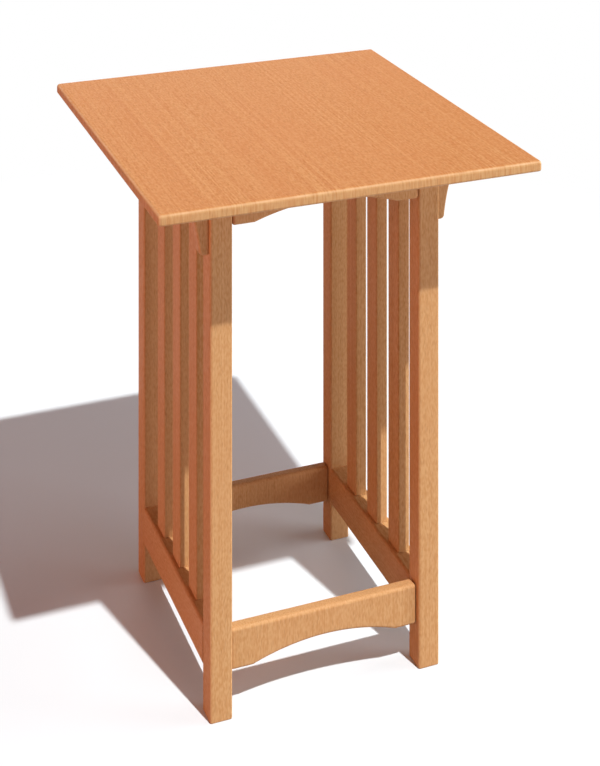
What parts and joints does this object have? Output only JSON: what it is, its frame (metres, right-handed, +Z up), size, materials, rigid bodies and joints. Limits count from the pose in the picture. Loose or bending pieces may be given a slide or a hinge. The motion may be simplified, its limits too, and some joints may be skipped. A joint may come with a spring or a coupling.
{
  "type": "nightstand",
  "caption": "Tall slatted nightstand in solid light wood with a thin square top, arched aprons and stretchers, slatted sides and small corbels.",
  "frame": {"origin": "on the floor under the middle of the top", "axes": "+Z up, -Y towards the front with the arched apron, +X towards the right side as seen from the front"},
  "size_m": [0.4572, 0.4572, 0.6096],
  "materials": {
    "top_wood": "satin",
    "frame_wood": "satin",
    "dowel_wood": "matt",
    "steel": "satin"
  },
  "bodies": {
    "root": {"tabletop": "top_wood", "front_apron": "frame_wood", "front_stretcher": "frame_wood", "back_apron": "frame_wood", "back_stretcher": "frame_wood", "left_upper_rail": "frame_wood", "left_lower_rail": "frame_wood", "left_slat_1": "frame_wood", "left_slat_2": "frame_wood", "left_slat_3": "frame_wood", "front_left_leg": "frame_wood", "front_left_corbel": "frame_wood", "front_left_low_dowel": "dowel_wood", "front_left_high_dowel": "dowel_wood", "front_left_button": "frame_wood", "front_left_screw": "steel", "back_left_leg": "frame_wood", "back_left_corbel": "frame_wood", "back_left_low_dowel": "dowel_wood", "back_left_high_dowel": "dowel_wood", "back_left_button": "frame_wood", "back_left_screw": "steel", "right_upper_rail": "frame_wood", "right_lower_rail": "frame_wood", "right_slat_1": "frame_wood", "right_slat_2": "frame_wood", "right_slat_3": "frame_wood", "front_right_leg": "frame_wood", "front_right_corbel": "frame_wood", "front_right_low_dowel": "dowel_wood", "front_right_high_dowel": "dowel_wood", "front_right_button": "frame_wood", "front_right_screw": "steel", "back_right_leg": "frame_wood", "back_right_corbel": "frame_wood", "back_right_low_dowel": "dowel_wood", "back_right_high_dowel": "dowel_wood", "back_right_button": "frame_wood", "back_right_screw": "steel"}
  },
  "joints": []
}
